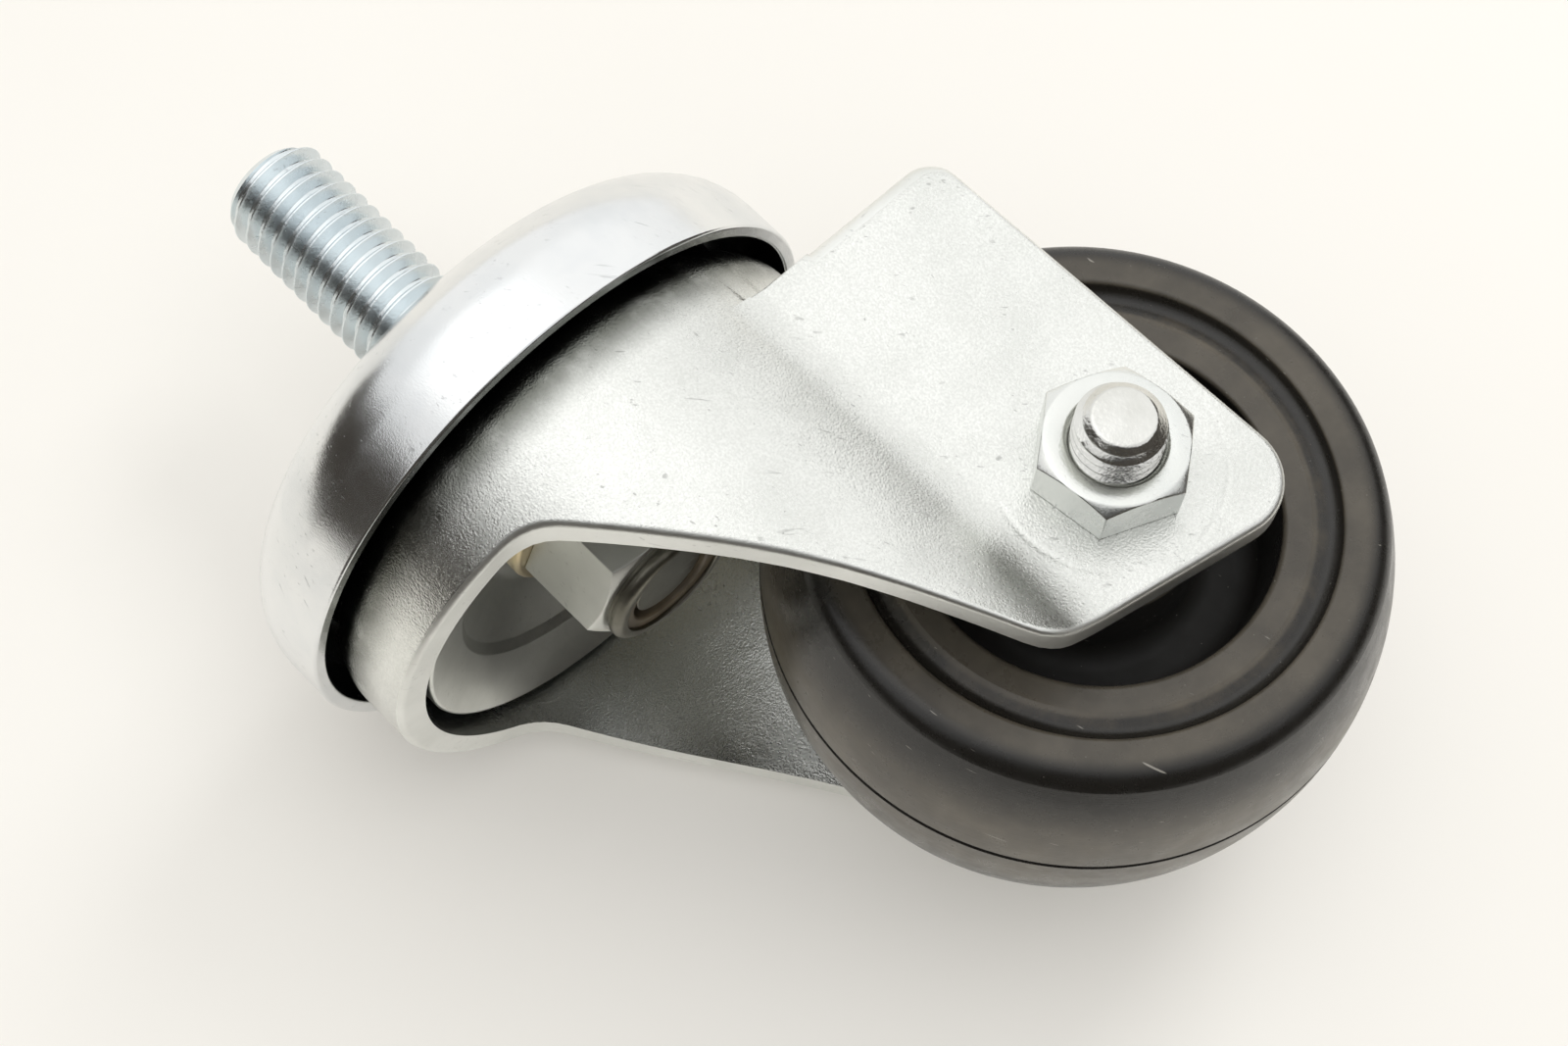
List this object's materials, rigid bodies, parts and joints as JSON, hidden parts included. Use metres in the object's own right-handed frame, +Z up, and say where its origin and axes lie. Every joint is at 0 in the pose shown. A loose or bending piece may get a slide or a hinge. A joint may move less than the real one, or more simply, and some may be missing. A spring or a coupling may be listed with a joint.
{
  "type": "swivel castor",
  "caption": "Swivel castor with a threaded stem, a domed cup over a ball bearing, a pressed sheet fork and a dark moulded wheel on a bolt and nut.",
  "frame": {"origin": "on the stem's axis, at the cup's top face", "axes": "+Z up the stem, +X towards the trailing wheel, Y along the axle with the nut on the -Y side"},
  "size_m": [0.0751, 0.0528, 0.0954],
  "materials": {
    "blue_zinc": "bright blue-passivated zinc over a rolled thread",
    "bright_zinc": "bright zinc, mirror-like with fine scratches",
    "satin_zinc": "satin zinc with fine grain and handling marks",
    "race_steel": "dark greasy steel",
    "ball_steel": "polished ball steel under grease",
    "dish_zinc": "bright pressed zinc",
    "yellow_zinc": "yellow-passivated zinc",
    "nut_zinc": "bright zinc on machined hexagons",
    "nylon": "soft nylon",
    "wheel_moulding": "hard dark moulding, semi-gloss, dusty"
  },
  "bodies": {
    "head": {"stem": "blue_zinc", "cup": "bright_zinc", "upper_race": "race_steel", "lower_race": "dish_zinc", "kingpin_washer": "yellow_zinc", "kingpin_nut": "nut_zinc", "nut_insert": "nylon"},
    "fork": {"fork": "satin_zinc", "axle_bolt": "nut_zinc", "axle_nut": "nut_zinc", "axle_sleeve": "race_steel"},
    "wheel": {"wheel": "wheel_moulding"},
    "upper_balls": {"upper_balls": "ball_steel"},
    "lower_balls": {"lower_balls": "ball_steel"}
  },
  "joints": [
    {"name": "swivel", "type": "hinge", "parent": "head", "child": "fork", "pos_m": [0, 0, -0.0088], "axis": [0, 0, 1], "continuous": true},
    {"name": "wheel_spin", "type": "hinge", "parent": "fork", "child": "wheel", "pos_m": [0.0242, 0, -0.0444], "axis": [0, 1, 0], "continuous": true},
    {"name": "upper_ball_orbit", "type": "hinge", "parent": "head", "child": "upper_balls", "pos_m": [0, 0, -0.00505], "axis": [0, 0, 1], "continuous": true},
    {"name": "lower_ball_orbit", "type": "hinge", "parent": "head", "child": "lower_balls", "pos_m": [0, 0, -0.01255], "axis": [0, 0, 1], "continuous": true}
  ],
  "couplings": [
    {"joint": "upper_ball_orbit", "follows": "swivel", "ratio": 0.5},
    {"joint": "lower_ball_orbit", "follows": "swivel", "ratio": 0.5}
  ]
}
